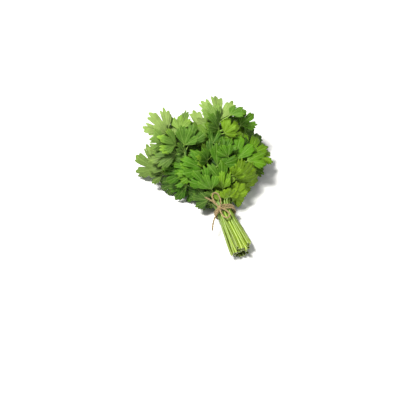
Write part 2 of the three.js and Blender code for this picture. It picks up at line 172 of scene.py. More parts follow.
# Each bow piece's points, given from the knot's middle: across, along and up
BOW = {
    "upper_loop": [
        (0, 0, 0), (2.5, 6, 2.5), (3.5, 14, 5.5), (0, 22, 8),
        (-5.5, 22, 8), (-7.5, 15, 6), (-4.5, 7, 3), (0, 0, 0),
    ],
    "lower_loop": [
        (0, 0, 0), (5, -4.5, 2.2), (10, -11, 2.6), (11, -17, 2.2),
        (6.5, -20, 1.8), (1.5, -16, 2), (-0.5, -8, 2), (0, 0, 0),
    ],
    "upper_end": [(0, 0, 0), (-4, 6, 1.5), (-9, 13, 2.6), (-17, 21, 3)],
    "lower_end": [(0, 0, 0), (-4, -5, 0.2), (-10, -11, -5), (-14.5, -18, -10.5), (-17.5, -26, -15)],
}


# Draws and vectors
def draw(a, b, c):
    """A repeatable draw from 0 to 1 for any three whole numbers, the same as in the solids."""
    mask = np.uint64(0xFFFFFFFF)
    h = np.uint64(0)
    for number, step, factor in ((a, 1, 0x9E3779B1), (b, 1, 0x85EBCA77), (c, SEED, 0xC2B2AE3D)):
        h = h ^ (((np.asarray(number, np.uint64) + np.uint64(step)) * np.uint64(factor)) & mask)
    for shift, factor in ((15, 0x2C1B3C6D), (12, 0x297A2D39)):
        h = ((h ^ (h >> np.uint64(shift))) * np.uint64(factor)) & mask
    return (h ^ (h >> np.uint64(15))).astype(float) / 2**32


def swing(a, b, c):
    return 2 * draw(a, b, c) - 1


def dot(a, b):
    return np.einsum("...k,...k->...", a, b)


def length(v):
    return np.sqrt(dot(v, v))


def unit(v):
    return v / length(v)[..., None]


def turned(v, axis, angle):
    """v turned about a unit axis, for arrays of vectors and angles."""
    c, s = np.cos(angle)[..., None], np.sin(angle)[..., None]
    return v * c + np.cross(axis, v) * s + axis * dot(axis, v)[..., None] * (1 - c)


# The stalks
def bundle_slots():
    row_height = STALK_PITCH * math.sqrt(3) / 2
    rows = math.floor(BUNDLE_HALF_HEIGHT / row_height)
    columns = math.floor(BUNDLE_HALF_WIDTH / STALK_PITCH) + 1
    slots = []
    for row in range(rows, -rows - 1, -1):
        for column in range(-columns, columns + 1):
            x, z = (column + (abs(row) % 2) / 2) * STALK_PITCH, row * row_height
            a, b = x / BUNDLE_HALF_WIDTH, z / BUNDLE_HALF_HEIGHT
            if a * a + b * b <= 1:
                slots.append(dict(x=x, z=z, a=a, b=b))
    return slots


def stalk_of(slot, index):
    a, b = slot["a"], slot["b"]
    fan = FAN_HALF_ANGLE * a / math.sqrt(1 - FAN_ROUNDING * b**2)
    rise = AXIS_RISE + (RISE_ANGLE if b > 0 else FALL_ANGLE) * b
    direction = np.array([
        math.sin(fan) * math.cos(rise), math.cos(fan) * math.cos(rise), math.sin(rise),
    ])
    place = index * GOLDEN_SHARE % 1
    short = REACH_SPREAD * place**SHORTENING_POWER
    reach = (REACH - REACH_LOST_AT_SIDES * a**4) * (1 - short)
    cut = CUT_LENGTH - CUT_SLANT * max(0, a) ** 2 - CUT_RAGGED * float(draw(index, 0, 1))
    return reaching_to(dict(slot, index=index, direction=direction, cut=cut), reach)


def stalk_curve(stalk, s):
    """The middle of a stalk at a distance s from the tie, positive towards the leaves."""
    x, z, b, direction = stalk["x"], stalk["z"], stalk["b"], stalk["direction"]
    if s < 0:
        t = -s / CUT_LENGTH
        h = (1 + CUT_BEND) * t * t / (t + CUT_BEND)
        return np.array([
            x * (1 + CUT_FLARE_WIDTH * h) + CUT_LEAN * h,
            s,
            TIE_HEIGHT - CUT_DROP * h + z * (1 + CUT_FLARE_HEIGHT * h),
        ])
    free = max(0, s - BAND_HALF_WIDTH)
    out = free * free / (free + BEND_LENGTH)
    sag = SAG * (1 + b) * (out / SAG_SPAN) ** 2 / 2
    return np.array([
        x + direction[0] * out,
        s - out + direction[1] * out,
        TIE_HEIGHT + z + direction[2] * out - sag,
    ])


def reaching_to(stalk, reach):
    stalk = dict(stalk, reach=reach)
    inner = [s for s in RING_PLACES if s < reach - SHORTEST_SPAN]
    stalk["ways"] = np.array([-stalk["cut"], *inner, reach])
    stalk["rings"] = np.array([stalk_curve(stalk, s) for s in stalk["ways"]])
    return stalk


def stalk_points(stalk, s):
    """Points and directions on the straight lengths between the rings, for an array of distances."""
    ways, rings = stalk["ways"], stalk["rings"]
    i = np.clip(np.searchsorted(ways, s, side="right") - 1, 0, len(ways) - 2)
    share = (s - ways[i]) / (ways[i + 1] - ways[i])
    step = rings[i + 1] - rings[i]
    return rings[i] + step * share[:, None], unit(step)


def stalk_radius(stalk, s):
    below = TIE_RADIUS + (CUT_RADIUS - TIE_RADIUS) * -s / stalk["cut"]
    above = TIE_RADIUS + (TIP_RADIUS - TIE_RADIUS) * s / stalk["reach"]
    return np.where(s < 0, below, above)


# The leaflets
def reach_share(angle):
    t = np.minimum(1, np.abs(angle) / BLADE_HALF_ANGLE)
    return 1 - 0.16 * t * t - 0.2 * t**6


def leaflet_height(leaf, r, angle):
    """How far a leaflet's surface stands off its plane: it has an arch, a cup across it, and a wave."""
    share = r / leaf["size"]
    bend = -leaf["arch"] * np.cos(angle) ** 2 - leaf["cup"] * np.sin(angle) ** 2
    return leaf["size"] * share * share * (bend + leaf["wave"] * np.sin(3 * angle + leaf["phase"]))


# Most leaves turn up to the light, apart from those of the lowest stalks
LOW_STALKS = -0.2
LOW_LIGHT = 0.1
HIGH_LIGHT = 0.5


def outward_of(stalk, way):
    """The side of a stalk that looks away from the middle of the bunch."""
    light = LOW_LIGHT if stalk["b"] < LOW_STALKS else HIGH_LIGHT
    out = np.array([0.8 * stalk["a"], 0.2 * light, 0.9 * stalk["b"] + 0.35 + light])
    return unit(out - way * (way @ out)[..., None])


def leaflet_points(leaf, r, angle, offset=0):
    """Points of a leaflet's surface, at distances r from its foot and angles from its rib."""
    flat = leaf["rib"] * (r * np.cos(angle))[..., None] + leaf["side"] * (r * np.sin(angle))[..., None]
    return leaf["foot"] + flat + leaf["face"] * (leaflet_height(leaf, r, angle) + offset)[..., None]


SAMPLE_ANGLES = np.radians([-62, -47, -31, -15, 0, 15, 31, 47, 62])
SAMPLE_TURNS = np.tile(SAMPLE_ANGLES, 4)
SAMPLE_REACHES = np.repeat([0.25, 0.5, 0.75, 1], 9) * reach_share(SAMPLE_TURNS)


def root_way(stalk, rule):
    return rule.get("from_tie") or stalk["reach"] - rule["from_end"]


def make_leaflets(stalk, rule, hand, key, attempts, tries):
    """The leaflets that several attempts give, as a dict of arrays with one row each."""
    loose = np.minimum(1, attempts / FREE_TRIES)
    shrink = 1 - SHRINK * attempts / tries

    def play(limits, n):
        return (limits[0] + limits[1] * loose) * swing(key, attempts, n)

    slide = 0 * loose if rule is ROUNDS[0] else play(SLIDE_PLAY, 1)
    s = np.maximum(LOWEST_LEAFLET, root_way(stalk, rule) + slide)
    root, way = stalk_points(stalk, s)
    out = outward_of(stalk, way)
    aside = turned(out, way, hand * np.radians(rule["turn"] + play(TURN_PLAY, 2)))
    lean = np.radians(rule["off"] + play(LEAN_PLAY, 3))[:, None]
    towards = way * np.cos(lean) + aside * np.sin(lean)
    pitch = np.radians(rule["lift"] + play(PITCH_PLAY, 4))[:, None]
    rib = unit(towards * np.cos(pitch) + out * np.sin(pitch))
    side = unit(np.cross(rib, out))
    face = unit(np.cross(side, rib))
    face = turned(face, rib, np.radians(play(FACE_PLAY, 5)))
    side = unit(np.cross(rib, face))
    leaf = dict(
        root=root, rib=rib, side=side, face=face, way=s,
        size=rule["size"] * shrink * (0.9 + 0.2 * draw(key, attempts, 6)),
        arch=0.14 + 0.24 * draw(key, attempts, 7),
        cup=0.05 + 0.18 * swing(key, attempts, 8),
        wave=0.06 * draw(key, attempts, 9),
        phase=2 * math.pi * draw(key, attempts, 10),
        cut=0.2 + 0.18 * draw(key, attempts, 11),
    )
    leaf["owner"] = np.full(len(attempts), stalk["index"])
    leaf["foot"] = root + unit(towards * 0.6 + rib * 0.4) * (rule["stem"] * shrink)[:, None]
    leaf["centre"] = leaf["foot"] + rib * (leaf["size"] * 0.5)[:, None]
    surface = spread_out(leaf, 1)
    blade = leaflet_points(surface, surface["size"] * SAMPLE_REACHES, SAMPLE_TURNS)
    leaf["samples"] = np.concatenate([leaf["foot"][:, None], blade], 1)
    leaf["line"] = np.stack([root + (leaf["foot"] - root) * t for t in (0.35, 0.7, 1)], 1)
    return leaf


def stand_off(leaf, points, edge):
    """How far points stand off leaflets' surfaces, and which lie within their edges. Both broadcast."""
    d = points - leaf["foot"]
    u, v = dot(d, leaf["rib"]), dot(d, leaf["side"])
    r, angle = np.hypot(u, v), np.arctan2(v, u)
    past = np.abs(angle) - BLADE_HALF_ANGLE
    beyond = r > leaf["size"] * reach_share(angle) + edge
    beyond |= (past > 0) & (r * np.sin(np.minimum(past, math.pi / 2)) > edge)
    kept = np.clip(angle, -BLADE_HALF_ANGLE, BLADE_HALF_ANGLE)
    return dot(d, leaf["face"]) - leaflet_height(leaf, r, kept), ~beyond


SURFACE = ["foot", "rib", "side", "face", "size", "arch", "cup", "wave", "phase"]


def spread_out(leaf, axes, which=slice(None)):
    """The surface values of some leaflets, with extra axes so that they broadcast against points."""
    found = {name: leaf[name][which] for name in SURFACE}
    return {name: v.reshape(len(v), *[1] * axes, *v.shape[1:]) for name, v in found.items()}


def surface_of(leaf):
    return {name: leaf[name][0] for name in SURFACE}


def kept_apart(surface, points, gaps):
    """True where all of a row's points that lie over a surface are on one side of it, and clear."""
    off, over = stand_off(surface, points, gaps["edge"])
    low = np.where(over, off, 1e9).min(-1)
    high = np.where(over, off, -1e9).max(-1)
    return (low > gaps["leaflet"]) | (high < -gaps["leaflet"])


def within_head(points, head):
    """Which rows of points lie wholly within an outline of the head, and above the table."""
    x, y, z = points[..., 0], points[..., 1], points[..., 2]
    off = (np.arctan2(x, y) - head["peak_angle"]) / PEAK_HALF_ANGLE
    rim = head["radius"] + head["peak"] * np.exp(-off * off)
    side = head["widening"] * y + head["flare"] * (z - FLARE_HEIGHT)
    reach = head["half_width"] + side
    in_fan = (x < reach) & (-x < reach * head["left"])
    return ((z > TABLE_GAP) & (z < head["top"]) & in_fan & (np.hypot(x, y) < rim)).all(-1)


# No part of a leaflet is further from its middle than this share of its length
LEAFLET_REACH = 0.8
NEAR_A_LINE = 5
NEAR_A_LEAFLET = 4


def near_pairs(leaf, centres, near):
    """Pairs of a leaflet and a point or leaflet that are near enough to touch."""
    gap = length(leaf["centre"][:, None] - centres)
    return np.nonzero(gap <= LEAFLET_REACH * leaf["size"][:, None] + near)


def clear_of_lines(leaf, points, radii, owners, gaps):
    """Which leaflets keep clear of the stalks, the twine and the other leaflets' stems."""
    others = owners != leaf["owner"][0]
    points, radii = points[others], radii[others]
    i, j = near_pairs(leaf, points, NEAR_A_LINE)
    off, over = stand_off(spread_out(leaf, 0, i), points[j], gaps["edge"])
    hit = over & (np.abs(off) < radii[j] + gaps["line"])
    own = length(leaf["line"][i] - points[j][:, None]).min(1)
    hit |= own < STEM_HALF_WIDTH + radii[j] + STEM_GAP
    return all_clear(leaf, i[hit])


def clear_of_leaflets(leaf, placed, gaps):
    """Which leaflets keep clear of those already placed."""
    i, j = near_pairs(leaf, placed["centre"], LEAFLET_REACH * placed["size"] + NEAR_A_LEAFLET)
    mine, theirs = spread_out(leaf, 1, i), spread_out(placed, 1, j)
    apart = kept_apart(mine, placed["samples"][j], gaps)
    apart &= kept_apart(theirs, leaf["samples"][i], gaps)
    off, over = stand_off(theirs, leaf["line"][i], gaps["edge"])
    crossed = (over & (np.abs(off) < STEM_HALF_WIDTH + gaps["line"])).any(-1)
    apart &= ~crossed | (placed["owner"][j] == leaf["owner"][0])
    return all_clear(leaf, i[~apart])


def all_clear(leaf, hits):
    clear = np.ones(len(leaf["size"]), bool)
    clear[hits] = False
    return clear


def chosen(leaf, which):
    """Some of the leaflets in a dict of arrays."""
    return {name: value[which] for name, value in leaf.items()}


# The points along a stalk or a bow piece that leaflets keep clear of
LINE_START = 8
LINE_STEP = 4
BOW_STEPS = 20


class Layout:
    """The leaflets placed so far, and the lines that they keep clear of."""

    def __init__(self, stalks):
        self.placed = []
        self.table = None
        self.stalks = stalks
        self.stalk_lines = [self.stalk_line(stalk) for stalk in stalks]
        twine = np.concatenate([turn_points(), *(spaced(curve, BOW_STEPS) for curve in bow_curves())])
        self.other_lines = [(twine, np.full(len(twine), TWINE_RADIUS), np.full(len(twine), -1))]

    @staticmethod
    def stalk_line(stalk):
        s = np.arange(LINE_START, stalk["reach"] + 1e-9, LINE_STEP)
        points, _ = stalk_points(stalk, s)
        return points, stalk_radius(stalk, s), np.full(len(s), stalk["index"])

    def lines(self):
        groups = self.stalk_lines + self.other_lines
        return [np.concatenate([group[k] for group in groups]) for k in range(3)]

    def fitting(self, leaf, lines, gaps):
        """The first of several leaflets that fits, or None."""
        index = np.flatnonzero(within_head(leaf["samples"], gaps["head"]))
        if len(index):
            index = index[clear_of_lines(chosen(leaf, index), *lines, gaps)]
        if len(index) and self.table:
            index = index[clear_of_leaflets(chosen(leaf, index), self.table, gaps)]
        return chosen(leaf, index[:1]) if len(index) else None

    def add(self, leaf):
        self.placed.append(leaf)
        names = [*SURFACE, "samples", "centre", "owner"]
        parts = [leaf] if self.table is None else [self.table, leaf]
        self.table = {name: np.concatenate([part[name] for part in parts]) for name in names}
        stem = leaf["line"][0]
        self.other_lines.append((stem, np.full(3, STEM_HALF_WIDTH), np.full(3, leaf["owner"][0])))

    def place_ends(self):
        """The end leaflets, the furthest first. A stalk is made shorter until its leaflet fits."""
        order = sorted(self.stalks, key=lambda stalk: -stalk["reach"])
        for first in order:
            index, reach = first["index"], first["reach"]
            for attempt in range(TRIES):
                stalk = reaching_to(first, reach * (1 - SHORTENING * attempt / TRIES))
                attempts = np.array([attempt])
                leaf = make_leaflets(stalk, ROUNDS[0], 1, index * KEYS_A_STALK, attempts, TRIES)
                leaf = self.fitting(leaf, self.lines(), SOLID_GAPS)
                if leaf:
                    self.stalks[index] = stalk
                    self.stalk_lines[index] = self.stalk_line(stalk)
                    self.add(leaf)
                    break

    def place_round(self, rule, number, tries, gaps, group):
        """One round of side leaflets, one to each hand of every stalk that is long enough."""
        for stalk in list(self.stalks):
            for n, hand in enumerate((-1, 1)):
                s = root_way(stalk, rule)
                if not LOWEST_LEAFLET <= s <= stalk["reach"] - END_CLEARANCE:
                    continue
                key = stalk["index"] * KEYS_A_STALK + number * 2 + n + group
                lines = self.lines()
                for low, high in zip(BATCHES, BATCHES[1:]):
                    attempts = np.arange(low, min(high, tries))
                    if len(attempts) == 0:
                        break
                    leaf = make_leaflets(stalk, rule, hand, key, attempts, tries)
                    leaf = self.fitting(leaf, lines, gaps)
                    if leaf:
                        self.add(leaf)
                        break


# The twine's route, and how finely each bow piece and each turn is drawn
BOW_POINTS = 241
FINE_TURN_STEPS = 80


def turn_point(angle, y):
    return np.stack([
        TURN_HALF_WIDTH * np.cos(angle),
        y + 0 * angle,
        TIE_HEIGHT + TURN_HALF_HEIGHT * np.sin(angle),
    ], -1)


def turn_points(steps_a_turn=20):
    t = np.linspace(0, 1, TWINE_TURNS * steps_a_turn + 1)
    return turn_point(KNOT_ANGLE + t * TWINE_TURNS * 2 * math.pi, (t - 0.5) * TWINE_PITCH * TWINE_TURNS)


def centripetal(points, t):
    """A centripetal Catmull-Rom curve through the points, at shares t of its whole."""
    p = np.array([2 * points[0] - points[1], *points, 2 * points[-1] - points[-2]])
    span = t * (len(points) - 1)
    i = np.minimum(np.floor(span).astype(int), len(points) - 2)
    w = (span - i)[:, None]
    p0, p1, p2, p3 = p[i], p[i + 1], p[i + 2], p[i + 3]
    d0, d1, d2 = (length(b - a)[:, None] ** 0.5 for a, b in ((p0, p1), (p1, p2), (p2, p3)))
    t1 = ((p1 - p0) / d0 - (p2 - p0) / (d0 + d1) + (p2 - p1) / d1) * d1
    t2 = ((p2 - p1) / d1 - (p3 - p1) / (d1 + d2) + (p3 - p2) / d2) * d1
    a = 2 * p1 - 2 * p2 + t1 + t2
    b = -3 * p1 + 3 * p2 - 2 * t1 - t2
    return a * w**3 + b * w**2 + t1 * w + p1


KNOT_MIDDLE = turn_point(np.array(KNOT_ANGLE), 0) + KNOT_OFFSET


def bow_curves():
    t = np.linspace(0, 1, BOW_POINTS)
    return [centripetal(np.array(points) + KNOT_MIDDLE, t) for points in BOW.values()]


def ways_along(points):
    """How far along a line each of its points is."""
    return np.concatenate([[0], np.cumsum(length(np.diff(points, axis=0)))])


def spaced(points, count):
    """count + 1 points at equal distances along a fine line of points."""
    ways = ways_along(points)
    wanted = np.linspace(0, ways[-1], count + 1)
    return np.stack([np.interp(wanted, ways, points[:, k]) for k in range(3)], -1)


layout = Layout([stalk_of(slot, i) for i, slot in enumerate(bundle_slots())])
layout.place_ends()
for number, rule in enumerate(ROUNDS[1:], 1):
    layout.place_round(rule, number, TRIES, SOLID_GAPS, 0)
solid_count = len(layout.placed)
for number, rule in enumerate(FILL_ROUNDS):
    layout.place_round(rule, number, FILL_TRIES, FILL_GAPS, FILL_KEYS)


# The bunch's place: the solids' right and far sides are leaf edges, and their cut underside is the table
SOLID_EDGE = [(0, 1), (8, 0.93), (15, 0.97), (28, 0.94), (38, 0.86), (45, 0.88), (62, 0.6)]
SOLID_HALF_THICKNESS = 0.45


def solid_edge_points(leaf):
    turns = np.radians([side * angle for angle, _ in SOLID_EDGE for side in (-1, 1)])
    shares = np.repeat([share for _, share in SOLID_EDGE], 2)
    surface = spread_out(leaf, 1)
    both = [
        leaflet_points(surface, surface["size"] * shares, turns, offset)
        for offset in (-SOLID_HALF_THICKNESS, SOLID_HALF_THICKNESS)
    ]
    return np.concatenate(both, 1)[0]


edges = np.concatenate([solid_edge_points(leaf) for leaf in layout.placed[:solid_count]])
far_corner = edges.max(0)
SHIFT = np.array([cad_high[0] * 1000 - far_corner[0], cad_high[1] * 1000 - far_corner[1], -TABLE_HEIGHT])


def in_row_frame(points):
    return (np.asarray(points) + SHIFT) / 1000


def in_scene(name, data):
    made = bpy.data.objects.new(name, data)
    bpy.context.scene.collection.objects.link(made)
    return made


# Meshes in the making
class Shape:
    """Points, faces and what each point carries for its material, gathered part by part."""

    def __init__(self):
        self.points, self.tints, self.marks = [], [], []
        self.faces, self.smooth, self.slots = [], [], []
        self.count = 0

    def add(self, points, faces, tints, marks, slot, flat_faces=()):
        """faces and flat_faces are lists of whole-number arrays, one row a face."""
        points = np.asarray(points, float)
        self.points.append(points)
        self.tints.append(np.broadcast_to(tints, points.shape))
        self.marks.append(np.broadcast_to(marks, points.shape))
        for groups, smooth in ((faces, True), (flat_faces, False)):
            for group in groups:
                self.faces.append(group + self.count)
                self.smooth.append(np.full(len(group), smooth))
                self.slots.append(np.full(len(group), slot))
        self.count += len(points)

    def built(self, name, materials):
        points = in_row_frame(np.concatenate(self.points))
        points[:, 2] = np.maximum(points[:, 2], 0)
        mesh = bpy.data.meshes.new(name)
        mesh.vertices.add(len(points))
        mesh.vertices.foreach_set("co", points.ravel())
        corners = np.concatenate([group.ravel() for group in self.faces])
        sizes = np.concatenate([np.full(len(group), group.shape[1]) for group in self.faces])
        mesh.loops.add(len(corners))
        mesh.loops.foreach_set("vertex_index", corners)
        mesh.polygons.add(len(sizes))
        mesh.polygons.foreach_set("loop_start", np.cumsum(sizes) - sizes)
        mesh.polygons.foreach_set("use_smooth", np.concatenate(self.smooth))
        mesh.polygons.foreach_set("material_index", np.concatenate(self.slots))
        tints = np.insert(np.concatenate(self.tints), 3, 1.0, axis=1)
        mesh.attributes.new("tint", "FLOAT_COLOR", "POINT").data.foreach_set("color", tints.ravel())
        marks = np.concatenate(self.marks)
        mesh.attributes.new("mark", "FLOAT_VECTOR", "POINT").data.foreach_set("vector", marks.ravel())
        for material in materials:
            mesh.materials.append(material)
        mesh.update(calc_edges=True)
        return in_scene(name, mesh)


def grid_faces(rows, columns, wrap):
    """Four-cornered faces over a grid of points, whose columns may close on themselves."""
    here = np.arange(rows * columns).reshape(rows, columns)
    beside = np.roll(here, -1, 1)
    if not wrap:
        here, beside = here[:, :-1], beside[:, :-1]
    corners = (here[:-1], beside[:-1], beside[1:], here[1:])
    return np.stack([corner.ravel() for corner in corners], 1)


def carried_frames(points, start):
    """At each point of a line, its direction and two more at right angles, carried along without twist."""
    ahead = np.concatenate([points[1:], points[-1:]])
    behind = np.concatenate([points[:1], points[:-1]])
    ways = unit(ahead - behind)
    across = np.empty_like(points)
    last = np.asarray(start, float)
    for i, way in enumerate(ways):
        last = last - way * (last @ way)
        last = last / math.sqrt(last @ last)
        across[i] = last
    return ways, across, np.cross(ways, across)


# Colours, as the shares of red, green and blue light that they send back
# DEEP_LEAF is also the painted shade of leaflets that lie under others
DEEP_LEAF = np.array([0.008, 0.055, 0.002])
FRESH_LEAF = np.array([0.076, 0.235, 0.007])
PALE_LEAF = np.array([0.36, 0.5, 0.14])
OLIVE_LEAF = np.array([0.15, 0.24, 0.05])
YELLOW_LEAF = np.array([0.28, 0.48, 0.015])
LEAF_UNDERSIDE = np.array([0.2, 0.33, 0.1])
STEM_GREEN = np.array([0.33, 0.54, 0.09])
STALK_LOW = np.array([0.33, 0.45, 0.045])
STALK_HIGH = np.array([0.15, 0.32, 0.035])
CUT_PITH = np.array([0.8, 0.86, 0.52])
TWINE_LIGHT = np.array([0.4, 0.29, 0.13])
TWINE_DARK = np.array([0.13, 0.088, 0.035])


def mixed(a, b, share):
    share = np.asarray(share, float)[..., None]
    return a * (1 - share) + b * share


# Where leaflets differ from the rest: the middle of a patch, its width, its colour, and how strongly
PATCHES = [
    (-30, 120, 24, DEEP_LEAF, 0.6),
    (0, 92, 30, DEEP_LEAF, 0.5),
    (50, 150, 20, DEEP_LEAF, 0.6),
    (82, 130, 22, FRESH_LEAF, 0.6),
    (88, 96, 26, YELLOW_LEAF, 0.6),
    (44, 50, 18, YELLOW_LEAF, 0.75),
    (21, 16, 20, YELLOW_LEAF, 1.5),
    (-78, 134, 36, PALE_LEAF, 1.0),
    (-100, 104, 24, OLIVE_LEAF, 0.8),
    (-48, 62, 22, FRESH_LEAF, 0.7),
    (-22, 10, 14, PALE_LEAF, 0.5),
    (-8, 142, 20, PALE_LEAF, 0.9),
    (14, 172, 30, PALE_LEAF, 1.6),
]


# How near another leaflet's middle is, across and above, to count as covering this one, which then gets
# painted shade
COVER_REACH = 24
COVER_ABOVE = 6


def leaflet_tint(leaf, centres, rng):
    """A leaflet's colour: darker under others, which is painted shade, by the patch that it lies in, and a
    little by chance.
    """
    x, y, z = leaf["centre"][0]
    near = np.hypot(centres[:, 0] - x, centres[:, 1] - y) < COVER_REACH
    covers = np.count_nonzero(near & (centres[:, 2] > z + COVER_ABOVE))
    # Painted shade: each leaflet above this one darkens it towards DEEP_LEAF; the random part is its own
    # tone
    shade_and_tone = 0.05 + 0.24 * covers + 0.4 * rng.uniform(-1, 1)
    tint = mixed(FRESH_LEAF, DEEP_LEAF, np.clip(shade_and_tone, 0, 1))
    if rng.uniform(0, 1) > 0.84:
        tint = mixed(tint, YELLOW_LEAF, 0.55)
    for px, py, width, colour, strength in PATCHES:
        near = math.exp(-((x - px) ** 2 + (y - py) ** 2) / width**2)
        tint = mixed(tint, colour, min(0.95, strength * near * rng.uniform(0.75, 1.2)))
    return tint * rng.uniform(0.85, 1.15)


# Half a leaflet's edge, from its tip to its foot side: teeth and the notches between them by turns
RIM_STOPS = np.array([
    (0, 1.0), (6, 0.88), (11.5, 0.92), (19, 0.74), (26, 0.86), (30.5, 0.8),
    (36.5, 0.95), (42.5, 0.82), (48, 0.87), (53, 0.72), (57.5, 0.74), (62, 0.5),
])
MAIN_NOTCH = 3
SIDE_LOBE_TIP = 6
COLUMNS_A_STOP = 3
BLADE_ROWS = 8
FORK_SHARE = 0.5
SIDE_FORK_SHARE = 0.42
SHORTEST_FORK = 0.015
MIDDLE_LOBE = math.radians(20)
BLADE_THICKNESS = 0.34
TABLE_CLEARANCE = 0.05
VEIN_FOLD = 0.4


def half_rim(leaf, tip, rng):
    """Half an edge, as angles and shares of the leaflet's length, and the angles of its stops."""
    angles, shares = np.radians(RIM_STOPS[:, 0]), RIM_STOPS[:, 1].copy()
    play = np.ones(len(angles))
    play[[0, MAIN_NOTCH, -1]] = 0
    angles = angles + play * np.radians(1.4) * rng.uniform(-1, 1, len(angles))
    shares += play * 0.045 * rng.uniform(-1, 1, len(angles))
    shares[0] = tip
    shares[MAIN_NOTCH] -= leaf["cut"][0] + 0.05 * rng.uniform(0, 1)
    found_angles, found_shares = [], []
    for k in range(len(angles) - 1):
        part = np.arange(COLUMNS_A_STOP) / COLUMNS_A_STOP
        from_notch = 1 - part if k % 2 == 0 else part
        notch, tooth = (k + 1, k) if k % 2 == 0 else (k, k + 1)
        rounding = 1 - (1 - from_notch) ** 2
        found_angles.append(angles[k] + (angles[k + 1] - angles[k]) * part)
        found_shares.append(shares[notch] + (shares[tooth] - shares[notch]) * rounding)
    found_angles.append(angles[-1:])
    found_shares.append(shares[-1:])
    return np.concatenate(found_angles), np.concatenate(found_shares), angles


def blade_plan(leaf, rng):
    """A leaflet's grid in its own plane, in shares of its length, with each point's vein distances."""
    tip = 1 + 0.02 * rng.uniform(-1, 1)
    halves = []
    for sign in (-1, 1):
        angles, shares, stops = half_rim(leaf, tip, rng)
        notch, lobe, end = stops[MAIN_NOTCH], stops[SIDE_LOBE_TIP], stops[-1]
        central = angles <= notch
        inner = np.where(angles < lobe, lobe - notch, end - lobe)
        fork = np.where(
            central,
            FORK_SHARE * (1 - angles / notch),
            SIDE_FORK_SHARE * (1 - np.abs(angles - lobe) / inner),
        )
        start = np.maximum(fork, SHORTEST_FORK)
        main, width = np.where(central, 0, lobe), np.where(central, notch, inner)
        halves.append([sign * angles, shares, start, sign * main, width])
    angle, share, start, main, width = (
        np.concatenate([left[:0:-1], right]) for left, right in zip(*halves)
    )
    f = np.stack([start * np.cos(main), start * np.sin(main)], 1)
    aim = np.stack([np.cos(angle), np.sin(angle)], 1)
    plain = aim * (0.93 * reach_share(angle))[:, None]
    t = np.linspace(0, 1, BLADE_ROWS)[:, None, None]
    plan = f + (plain - f) * t + (aim * share[:, None] - plain) * t**3
    count = len(angle)
    step = 2 * COLUMNS_A_STOP
    teeth = np.abs(np.arange(count) - count // 2) % step == 0
    to_teeth = length(plan[:, :, None] - plan[:, None, teeth]).min(-1)
    along = np.stack([np.cos(main), np.sin(main)], 1)
    to_main = np.abs(plan[..., 0] * along[:, 1] - plan[..., 1] * along[:, 0])
    lobe_way = (np.arctan2(plan[..., 1], plan[..., 0]) - main) / width
    return plan, to_teeth, to_main, lobe_way


def add_blade(shape, leaf, tint, rng):
    """A leaflet's blade: a thin closed sheet with its teeth, folds along its veins and a waved edge."""
    size = float(leaf["size"][0])
    plan, to_teeth, to_main, lobe_way = blade_plan(leaf, rng)
    u, v = plan[..., 0], plan[..., 1]
    share, angle = np.hypot(u, v), np.arctan2(v, u)
    surface = surface_of(leaf)
    veins = np.minimum(to_teeth, to_main) * size
    relief = VEIN_FOLD * (1 - np.exp(-((veins / 1.5) ** 2)))
    waves = np.sin(rng.uniform(7, 10) * angle + rng.uniform(0, 6))
    waves = waves + 0.5 * np.sin(rng.uniform(15, 20) * angle + rng.uniform(0, 6))
    relief += size * 0.032 * share**3 * waves
    in_middle_lobe = np.abs(angle) < MIDDLE_LOBE
    tilt = np.where(in_middle_lobe, rng.uniform(-0.08, 0.08), rng.uniform(-0.12, 0.12))
    relief += size * tilt * share**2 * lobe_way
    relief -= size * rng.uniform(0.02, 0.1) * share**5
    thickness = BLADE_THICKNESS * (1 - 0.5 * np.minimum(share, 1) ** 2)
    top = leaflet_points(surface, share * size, angle, relief + thickness / 2)
    bottom = leaflet_points(surface, share * size, angle, relief - thickness / 2)
    pressed_up = np.maximum(0, TABLE_HEIGHT + TABLE_CLEARANCE - bottom[..., 2])
    top[..., 2] += pressed_up
    bottom[..., 2] += pressed_up
    rows, columns = share.shape
    count = rows * columns
    sheet = grid_faces(rows, columns, False)
    grid = np.arange(count).reshape(rows, columns)
    rim = np.concatenate([grid[-1], grid[-2::-1, -1], grid[0, -2::-1], grid[1:-1, 0]])
    after = np.roll(rim, -1)
    edge = np.stack([rim, after, after + count, rim + count], 1)
    pale_edge = 0.22 * np.minimum(share, 1) ** 6
    stained = mixed(mixed(tint, YELLOW_LEAF, pale_edge), STEM_GREEN, 0.5 * np.exp(-share / 0.1))
    under = mixed(stained, LEAF_UNDERSIDE, np.full(share.shape, 0.42))
    tints = np.concatenate([stained.reshape(-1, 3), under.reshape(-1, 3)])
    marks = np.stack([to_main * size, to_teeth * size, share], -1).reshape(-1, 3)
    points = np.concatenate([top.reshape(-1, 3), bottom.reshape(-1, 3)])
    faces = [sheet, sheet[:, ::-1] + count]
    shape.add(points, faces, tints, np.concatenate([marks, marks]), LEAF, flat_faces=[edge])


# Stalks and leaf stems. The first two numbers are the places of a leafy stalk's materials
LEAF = 0
STALK = 1
STALK_RINGS_APART = 5
STALK_SIDES = 14
STALK_RIBS = 0.045
STEM_SIDES = 8
STEM_RINGS = 8
STEM_RADII = (0.85, 0.55)
RIB_START = 0.06
RIB_SHARE = 0.42
RIB_RINGS = 5
RIB_BELOW = 0.25
RIB_RADIUS = 0.5
RIB_TAPER = 0.38
SWAY = 0.7


